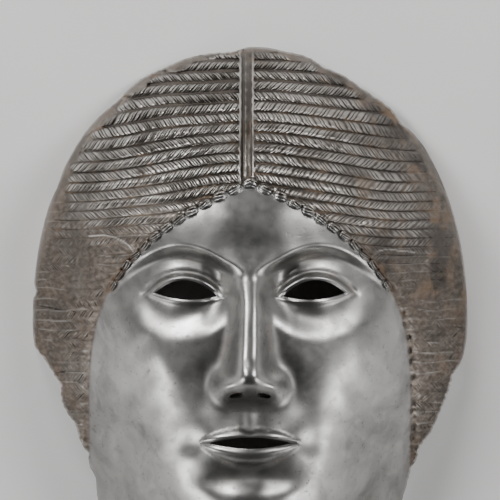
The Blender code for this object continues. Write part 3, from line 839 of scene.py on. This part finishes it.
def add_beads(plan):
    """Lines along each bead's ribs, and rings at its foot."""
    turn = np.radians(np.arange(0, 361, 15))
    ring = np.stack([np.cos(turn), np.sin(turn)], 1)
    for number, (place, along, size) in enumerate(bead_string()):
        axes = size * np.stack([BEAD_HALF_LENGTH * along, BEAD_WIDTH / 2 * np.array([along[1], -along[0]])])
        count, twist = bead_ribs(number)
        ribs = []
        for across in np.arange(1 - 4 * count, 4 * count) / (4 * count):
            reach = 0.94 * math.sqrt(1 - across**2)
            length = np.linspace(-reach, reach, 3 + round(7 * reach))
            ribs.append(np.stack([length, across + twist * length * (1 - across**2)], 1))
        lines = [place + line @ axes for line in [*ribs, 1.0 * ring, 1.1 * ring]]
        plan.add_clear_lines(lines, BEAD_GAP)
        if place[0] > 0:
            plan.add_clear_lines([line * [-1, 1] for line in lines], BEAD_GAP)


def add_hairline(plan):
    """The step from the face up to the hair, and the foot of the beads."""
    lines = []
    for offset in HAIRLINE_OFFSETS:
        line, _ = hairline_points(HAIRLINE_STEP, HAIRLINE_FOOT, offset)
        lines += both_sides(line)
    plan.add_clear_lines(lines, LINE_GAP)


def add_cracks(plan):
    for crack in CRACKS:
        corners = np.array(crack) * 0.001
        length = np.concatenate([[0], np.cumsum(np.hypot(*np.diff(corners, axis=0).T))])
        at = np.arange(0, length[-1] + CRACK_STEP, CRACK_STEP)
        line = np.stack([np.interp(at, length, column) for column in corners.T], 1)
        lines = [line + [0, CRACK_WIDTH * share] for share in (-1.8, -0.9, 0, 0.9, 1.8)]
        plan.add_clear_lines(lines, CRACK_GAP)


def add_parting(plan):
    y = np.arange(HAIRLINE_PEAK + 0.002, HALF_HEIGHT, PARTING_STEP)
    offsets = list(PARTING_LINE_OFFSETS)
    for side in (-1, 1):
        offsets += [side * (PARTING_WIDTH / 2 + offset) for offset in PARTING_EDGE_OFFSETS]
    lines = [np.stack([np.full_like(y, PARTING_X + offset), y], 1) for offset in sorted(offsets)]
    plan.add_clear_lines(lines, PARTING_GAP)


def outside_hairline(lines, distance):
    """The lines' points that lie further out than this, without the lines that have none."""
    lines = [line[hairline_distance(line[:, 0], line[:, 1]) > distance] for line in lines]
    return [line for line in lines if len(line)]


def add_strokes(plan):
    """A line of points along every groove of the plaits, and lines along and between the strokes."""
    last = math.ceil((FIRST_ROW_Y + HALF_HEIGHT + ROW_DROP) / PLAIT_PITCH)
    lines = []
    for row in range(-1, last):
        for side in (-1, 1):
            x = PARTING_X + side * np.arange(PARTING_WIDTH / 2 + 0.0012, HALF_WIDTH, GROOVE_STEP)
            lines.append(np.stack([x, row_y(row, x)], 1))
            spacing = float(stroke_spacing(row + 0.5, side))
            reach = np.arange(-int(HALF_WIDTH / spacing) - 6, int(HALF_WIDTH / spacing) + 7)
            numbers = (reach[:, None] + np.array(STROKE_PHASES)).ravel()
            places = row + np.array(ROW_PHASES)
            x = stroke_x(numbers[:, None], places[None, :], side)
            y = row_y(places[None, :], x)
            for line in np.stack([x, y], 2):
                lines.append(line[(line[:, 0] - PARTING_X) * side > PARTING_WIDTH / 2 + 0.001])
    plan.add_clear_lines(outside_hairline(lines, 0.0005), LINE_GAP)


def on_features(x, y):
    u, v = in_face_units(x, y)
    round_mouth_and_nose = (u < 30) & (v > -90) & (v < 4)
    round_eyes = (u < 60) & (v > -16) & (v < 28)
    return round_mouth_and_nose | round_eyes


def on_face(x, y):
    return hairline_distance(x, y) < 0


def anywhere(x, y):
    return np.isfinite(x + y)


def outer_plan(edge, holes):
    plan = Plan(edge, holes)
    middle = np.array([0, WIDEST_Y])
    reach = np.hypot(*(edge - middle).T)[:, None]
    for inset in EDGE_INSETS:
        plan.add_clear_lines([middle + (edge - middle) * (1 - inset / reach)], LINE_GAP)
    add_cracks(plan)
    add_face_lines(plan)
    add_beads(plan)
    add_hairline(plan)
    add_parting(plan)
    add_strokes(plan)
    plan.scatter(FEATURE_STEP, on_features)
    plan.scatter(FACE_STEP, on_face)
    plan.scatter(1.3 * FACE_STEP, anywhere)
    return plan


def inner_plan(edge, holes):
    plan = Plan(edge, holes)
    last = (FIRST_ROW_Y + HALF_HEIGHT) / PLAIT_PITCH
    lines = []
    for side in (-1, 1):
        x = side * np.arange(INNER_STEP, HALF_WIDTH, 1.2 * INNER_STEP)
        lines += [np.stack([x, row_y(row, x)], 1) for row in np.arange(-0.5, last, 0.5)]
    plan.add_clear_lines(outside_hairline(lines, 0.001), 0.4 * INNER_STEP)
    plan.scatter(0.45 * INNER_STEP, on_features)
    plan.scatter(INNER_STEP, anywhere)
    return plan


# The mask

ON_EDGE = 1e-5
SHARP_ANGLE = math.radians(60)
FINE_SPREADS, WIDE_SPREADS = 3, 14
CAVITY_DEPTH, HOLLOW_DEPTH = 0.0002, 0.0004


def spread(values, edges, times):
    """Values averaged with their neighbours' over the mesh, a few times."""
    ends = np.concatenate([edges, edges[:, ::-1]])
    count = np.bincount(ends[:, 0], minlength=len(values))
    for _ in range(times):
        sums = [np.bincount(ends[:, 0], column[ends[:, 1]], len(values)) for column in values.T]
        values = (values + np.stack(sums, 1) / count[:, None]) / 2
    return values


def bead_dirt(x, y):
    """Where earth sticks between the lower beads."""
    beside = np.exp(-(((hairline_distance(x, y) - 0.0004) / 0.0024) ** 2)) * np.where(x < 0, 1, 0.45)
    return beside * smoothstep(BEADS_END - 0.012, BEADS_END, y) * (1 - smoothstep(0.018, 0.042, y))


def make_mask():
    edge, holes = outline(EDGE_STEP), openings()
    outer, outer_faces, outer_loops = outer_plan(edge, holes).triangles()
    inner, inner_faces, inner_loops = inner_plan(edge, holes).triangles()
    x, y = outer.T
    z = np.maximum(np.where(edge_distance(x, y) < ON_EDGE, 0, surface(x, y)), 0)
    points = np.concatenate([np.stack([x, y, z], 1), underside(*inner.T)])
    faces = outer_faces.tolist() + (inner_faces[:, ::-1] + len(outer)).tolist()
    for top, foot in zip(outer_loops, inner_loops):
        for i in range(len(top)):
            j = (i + 1) % len(top)
            faces.append([top[j], top[i], foot[i] + len(outer), foot[j] + len(outer)])
    mesh = bpy.data.meshes.new("embossed_sheet")
    mesh.from_pydata(points.tolist(), [], faces)
    solid = bmesh.new()
    solid.from_mesh(mesh)
    bmesh.ops.delete(solid, geom=[v for v in solid.verts if not v.link_faces], context="VERTS")
    bmesh.ops.recalc_face_normals(solid, faces=solid.faces[:])
    solid.to_mesh(mesh)
    solid.free()
    mesh.shade_smooth()
    mesh.set_sharp_from_angle(angle=SHARP_ANGLE)
    add_looks(mesh, edge)
    mask = bpy.data.objects.new("embossed_sheet", mesh)
    bpy.context.scene.collection.objects.link(mask)
    return mask


def read_rows(items, name, width, kind=float):
    values = np.empty(len(items) * width, kind)
    items.foreach_get(name, values)
    return values.reshape(-1, width)


def add_looks(mesh, edge):
    """What the metal's colour needs to know of the shape at each point."""
    co = read_rows(mesh.vertices, "co", 3)
    normals = read_rows(mesh.vertices, "normal", 3)
    edges = read_rows(mesh.edges, "vertices", 2, np.int32)
    tree = KDTree(len(edge))
    for index, (edge_x, edge_y) in enumerate(edge):
        tree.insert((edge_x, edge_y, 0), index)
    tree.balance()
    from_edge = np.array([tree.find((px, py, 0))[2] for px, py, _ in co])
    x, y = co[:, 0], co[:, 1]
    fine = ((spread(co, edges, FINE_SPREADS) - co) * normals).sum(1)
    wide = ((spread(co, edges, WIDE_SPREADS) - co) * normals).sum(1)
    looks = {
        "cavity": np.clip(fine / CAVITY_DEPTH, -1, 1),
        "hollow": np.clip(wide / HOLLOW_DEPTH, -1, 1),
        "hair": smoothstep(-0.0006, 0.0010, hairline_distance(x, y)),
        "rim": 1 - smoothstep(0, 0.016, from_edge),
        # lip: the strip along the broken edge that gets a painted highlight
        "lip": 1 - smoothstep(0.0002, 0.0009, from_edge),
        # line: the raised lines, which also get a painted highlight
        "line": drawn_line(x, y),
        "earth": 1 - row_height(x, y) * (0.5 + 0.5 * crispness(x, y)),
        "border": (1 - border_share(x, y)) * smoothstep(0, 0.03, y),
        "dirt": bead_dirt(x, y),
        # flank: the right side of the hair, browned by patina and darkened as painted shade
        "flank": smoothstep(0.01, 0.07, x) * smoothstep(-0.03, 0.02, y),
        "inside": np.where(normals[:, 2] > 0, 0, 1),
    }
    for name, values in looks.items():
        attribute = mesh.attributes.new(name, "FLOAT", "POINT")
        attribute.data.foreach_set("value", np.asarray(values, np.float32))


# Metal and patina


class Nodes:
    """A material's node tree, written as expressions."""

    def __init__(self, name):
        self.material = bpy.data.materials.new(name)
        self.material.use_nodes = True
        self.tree = self.material.node_tree
        self.shader = self.tree.nodes["Principled BSDF"]
        self.place = self.add("ShaderNodeTexCoord", {}).outputs["Object"]

    def feed(self, socket, value):
        if isinstance(value, bpy.types.NodeSocket):
            self.tree.links.new(value, socket)
        else:
            socket.default_value = value

    def add(self, kind, inputs, **settings):
        node = self.tree.nodes.new(kind)
        for key, value in settings.items():
            setattr(node, key, value)
        for key, value in inputs.items():
            self.feed(node.inputs[key], value)
        return node

    def math(self, operation, first, second, clamp=False):
        inputs = {0: first, 1: second}
        return self.add("ShaderNodeMath", inputs, operation=operation, use_clamp=clamp).outputs[0]

    def times(self, first, second):
        return self.math("MULTIPLY", first, second)

    def plus(self, first, second):
        """Their sum, at most 1."""
        return self.math("ADD", first, second, clamp=True)

    def attribute(self, name):
        return self.add("ShaderNodeAttribute", {}, attribute_name=name).outputs["Fac"]

    def noise(self, scale, detail=4.0, distortion=0.0, stretch=None):
        place = self.place
        if stretch:
            place = self.add("ShaderNodeMapping", {"Vector": place, "Scale": stretch}).outputs[0]
        inputs = {"Vector": place, "Scale": scale, "Detail": detail, "Distortion": distortion}
        return self.add("ShaderNodeTexNoise", inputs).outputs["Fac"]

    def between(self, value, low, high, to_low=0.0, to_high=1.0):
        """From to_low where the value is low to to_high where it is high."""
        inputs = {"Value": value, "From Min": low, "From Max": high, "To Min": to_low, "To Max": to_high}
        return self.add("ShaderNodeMapRange", inputs, interpolation_type="SMOOTHSTEP").outputs[0]

    def mix(self, share, first, second):
        inputs = {"Factor": share, 6: first, 7: second}
        return self.add("ShaderNodeMix", inputs, data_type="RGBA").outputs[2]


FACE_METAL = (0.38, 0.375, 0.365, 1)
FACE_STAIN = (0.155, 0.15, 0.145, 1)
FACE_PALE = (0.46, 0.45, 0.44, 1)
HAIR_METAL = (0.148, 0.136, 0.122, 1)
HAIR_DULL = (0.068, 0.059, 0.051, 1)
WORN = (0.122, 0.100, 0.084, 1)
WORN_PALE = (0.235, 0.202, 0.176, 1)
BORDER = (0.26, 0.225, 0.195, 1)
# painted highlight: the colour laid on ridge crests, raised lines and the broken edge
PAINTED_HIGHLIGHT = (0.60, 0.58, 0.55, 1)
BROWN = (0.028, 0.021, 0.016, 1)
OCHRE = (0.16, 0.105, 0.065, 1)
INSIDE = (0.09, 0.075, 0.065, 1)
FINE_RELIEF = 0.0001


def stains(nodes):
    """Clouds, smaller mottles and specks all over the metal."""
    cloud = nodes.between(nodes.noise(22, 7, 1.2), 0.44, 0.66)
    mottle = nodes.between(nodes.noise(95, 5, 0.6), 0.42, 0.68)
    specks = nodes.between(nodes.noise(520, 4, 0.3), 0.60, 0.72)
    stain = nodes.plus(nodes.times(cloud, 0.50), nodes.times(mottle, 0.28))
    return nodes.plus(stain, nodes.times(specks, 0.45))


def face_metal(nodes, stain):
    pale = nodes.between(nodes.noise(60, 6, 0.9), 0.56, 0.72, 0.0, 0.5)
    return nodes.mix(pale, nodes.mix(stain, FACE_METAL, FACE_STAIN), FACE_PALE)


def hair_metal(nodes, cavity, earth, worn):
    """Dull in patches, earthy and streaked where it is worn, with painted highlights on the ridges and
    raised lines.
    """
    dull = nodes.between(nodes.noise(30, 8, 0.8), 0.38, 0.60)
    streaks = nodes.between(nodes.noise(330, 9, 0.3, (0.5, 1.6, 1)), 0.34, 0.70)
    lock = nodes.mix(worn, nodes.mix(dull, HAIR_METAL, HAIR_DULL), nodes.mix(streaks, WORN, WORN_PALE))
    border = nodes.times(nodes.attribute("border"), nodes.between(nodes.noise(90, 6), 0.3, 0.6, 0.5, 1.0))
    lock = nodes.mix(border, lock, BORDER)
    # painted highlight: the crests of the ridges and the raised lines are lightened towards a bright metal
    # colour, standing in for glints
    ridge = nodes.between(cavity, -0.12, -0.75)
    glint = nodes.times(ridge, nodes.between(nodes.noise(70, 4), 0.35, 0.60, 0.25, 0.85))
    glint = nodes.times(glint, nodes.between(earth, 0.3, 1.0, 1.0, 0.12))
    return nodes.mix(nodes.plus(glint, nodes.times(nodes.attribute("line"), 0.38)), lock, PAINTED_HIGHLIGHT)


def patina_over(nodes, hair, cavity, earth, dirt):
    """How thick the brown patina lies: in grooves and hollows, by the rim, and over the right flank, where
    the brown is partly painted shade.
    """
    deep = nodes.times(nodes.between(cavity, 0.1, 0.8), nodes.between(earth, 0.3, 1.0, 0.55, 0.3))
    deep = nodes.plus(deep, nodes.times(nodes.between(nodes.attribute("hollow"), 0.15, 0.8), 0.75))
    near_rim = nodes.times(nodes.attribute("rim"), nodes.between(nodes.noise(42, 5), 0.35, 0.62))
    patches = nodes.times(hair, nodes.between(nodes.noise(55, 6, 0.4), 0.48, 0.70))
    brown = nodes.between(nodes.noise(36, 8, 0.6), 0.36, 0.62, 0.2, 1.0)
    stuck = nodes.times(dirt, nodes.between(nodes.noise(210, 4), 0.40, 0.56))
    patina = nodes.plus(nodes.times(deep, 0.85), nodes.times(near_rim, 0.35))
    patina = nodes.plus(patina, nodes.times(patches, 0.28))
    # partly patina, partly painted shade: the right side of the hair is made darker and browner
    patina = nodes.plus(patina, nodes.times(nodes.times(nodes.attribute("flank"), brown), 0.6))
    patina = nodes.times(patina, nodes.between(hair, 0, 1, 0.3, 1.0))
    return nodes.plus(patina, nodes.times(stuck, 0.6))


def roughness(nodes, hair, stain, worn, covered):
    rough = nodes.plus(nodes.between(hair, 0, 1, 0.27, 0.25), nodes.times(nodes.noise(240, 3), 0.12))
    rough = nodes.plus(rough, nodes.times(stain, 0.14))
    rough = nodes.plus(rough, nodes.times(nodes.times(hair, worn), 0.16))
    return nodes.plus(rough, nodes.times(covered, 0.32))


def fine_relief(nodes, hair):
    """Scratches, pits and a fine grain."""
    scratches = nodes.noise(300, 2, 0.2, (0.25, 3.0, 1.0))
    pits = nodes.between(nodes.noise(420, 3), 0.62, 0.74)
    relief = nodes.math("SUBTRACT", nodes.times(scratches, 0.35), nodes.times(pits, 0.5))
    relief = nodes.math("ADD", relief, nodes.times(nodes.noise(900, 2), 0.25))
    strength = nodes.between(hair, 0, 1, 0.32, 0.8)
    inputs = {"Distance": FINE_RELIEF, "Strength": strength, "Height": relief}
    return nodes.add("ShaderNodeBump", inputs).outputs[0]


def tinned_sheet():
    nodes = Nodes("tinned_sheet")
    hair, inside, cavity = nodes.attribute("hair"), nodes.attribute("inside"), nodes.attribute("cavity")
    earth, dirt = nodes.attribute("earth"), nodes.attribute("dirt")
    stain = stains(nodes)
    worn = nodes.times(earth, nodes.between(nodes.noise(48, 5, 0.6), 0.30, 0.60, 0.35, 1.0))
    patina = patina_over(nodes, hair, cavity, earth, dirt)
    covered = nodes.math("MAXIMUM", patina, nodes.times(inside, 0.6))
    metal = nodes.mix(hair, face_metal(nodes, stain), hair_metal(nodes, cavity, earth, worn))
    soil = nodes.plus(nodes.between(nodes.noise(80, 5, 0.5), 0.47, 0.68), dirt)
    # painted highlight: a thin bright line along the broken edge, standing in for the glint of the rim
    edge_highlight = nodes.times(nodes.attribute("lip"), nodes.between(nodes.noise(60, 3), 0.35, 0.55, 0.2, 0.9))
    colour = nodes.mix(patina, metal, nodes.mix(soil, BROWN, OCHRE))
    colour = nodes.mix(edge_highlight, colour, PAINTED_HIGHLIGHT)
    colour = nodes.mix(nodes.times(inside, 0.85), colour, INSIDE)
    nodes.feed(nodes.shader.inputs["Base Color"], colour)
    nodes.feed(nodes.shader.inputs["Metallic"], nodes.between(covered, 0, 1, 1.0, 0.25))
    nodes.feed(nodes.shader.inputs["Roughness"], roughness(nodes, hair, stain, worn, covered))
    nodes.feed(nodes.shader.inputs["Normal"], fine_relief(nodes, hair))
    return nodes.material


# Floor, light and camera

FLOOR_SIZE = 6
FLOOR_DROP = 0.0005
FLOOR_COLOUR = (0.74, 0.73, 0.72, 1)
FLOOR_SHADE = (0.7104, 0.7008, 0.6912, 1)
WORLD_COLOUR = (0.035, 0.035, 0.035, 1)
LIT_PLACE = (0, 0, 0.06)
# (name, place, width, height, power in watts)
SOFTBOXES = [
    ("left_box", (-1.0, 0.72, 1.15), 0.36, 0.6, 23),
    ("right_box", (1.1, 0.5, 1.1), 0.35, 0.6, 15),
    ("top_box", (-0.4, 1.5, 0.8), 0.6, 0.3, 9),
    ("low_left_box", (-1.3, -0.75, 0.4), 0.6, 0.5, 8),
    ("low_right_box", (1.3, -0.75, 0.4), 0.6, 0.5, 8),
]
PIXEL = 0.00049
FRAME_PIXELS = 500
FRAME_CENTRE_Y = 0.025
CAMERA_HEIGHT = 5.0
SENSOR = 36.0


def make_floor():
    bpy.ops.mesh.primitive_plane_add(size=FLOOR_SIZE, location=(0, 0, -FLOOR_DROP))
    floor = bpy.context.object
    floor.name = "floor"
    nodes = Nodes("floor_paper")
    shade = nodes.between(nodes.noise(9, 4), 0.3, 0.7)
    nodes.feed(nodes.shader.inputs["Base Color"], nodes.mix(shade, FLOOR_COLOUR, FLOOR_SHADE))
    nodes.shader.inputs["Roughness"].default_value = 0.8
    floor.data.materials.append(nodes.material)


def make_softbox(name, place, width, height, power):
    data = bpy.data.lights.new(name, "AREA")
    data.shape = "RECTANGLE"
    data.size, data.size_y = width, height
    data.energy = power
    light = bpy.data.objects.new(name, data)
    light.location = place
    light.rotation_mode = "QUATERNION"
    light.rotation_quaternion = (Vector(LIT_PLACE) - Vector(place)).to_track_quat("-Z", "Y")
    light.visible_camera = False
    bpy.context.scene.collection.objects.link(light)


def make_lights():
    world = bpy.data.worlds.new("studio")
    world.use_nodes = True
    world.node_tree.nodes["Background"].inputs["Color"].default_value = WORLD_COLOUR
    bpy.context.scene.world = world
    for softbox in SOFTBOXES:
        make_softbox(*softbox)


def make_camera():
    data = bpy.data.cameras.new("camera")
    data.sensor_width = SENSOR
    data.lens = SENSOR * CAMERA_HEIGHT / (FRAME_PIXELS * PIXEL)
    camera = bpy.data.objects.new("camera", data)
    camera.location = (0, FRAME_CENTRE_Y, CAMERA_HEIGHT)
    bpy.context.scene.collection.objects.link(camera)
    bpy.context.scene.camera = camera


mask = make_mask()
mask.data.materials.append(tinned_sheet())
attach(mask, "root")
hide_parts("face_mask")
make_floor()
make_lights()
make_camera()
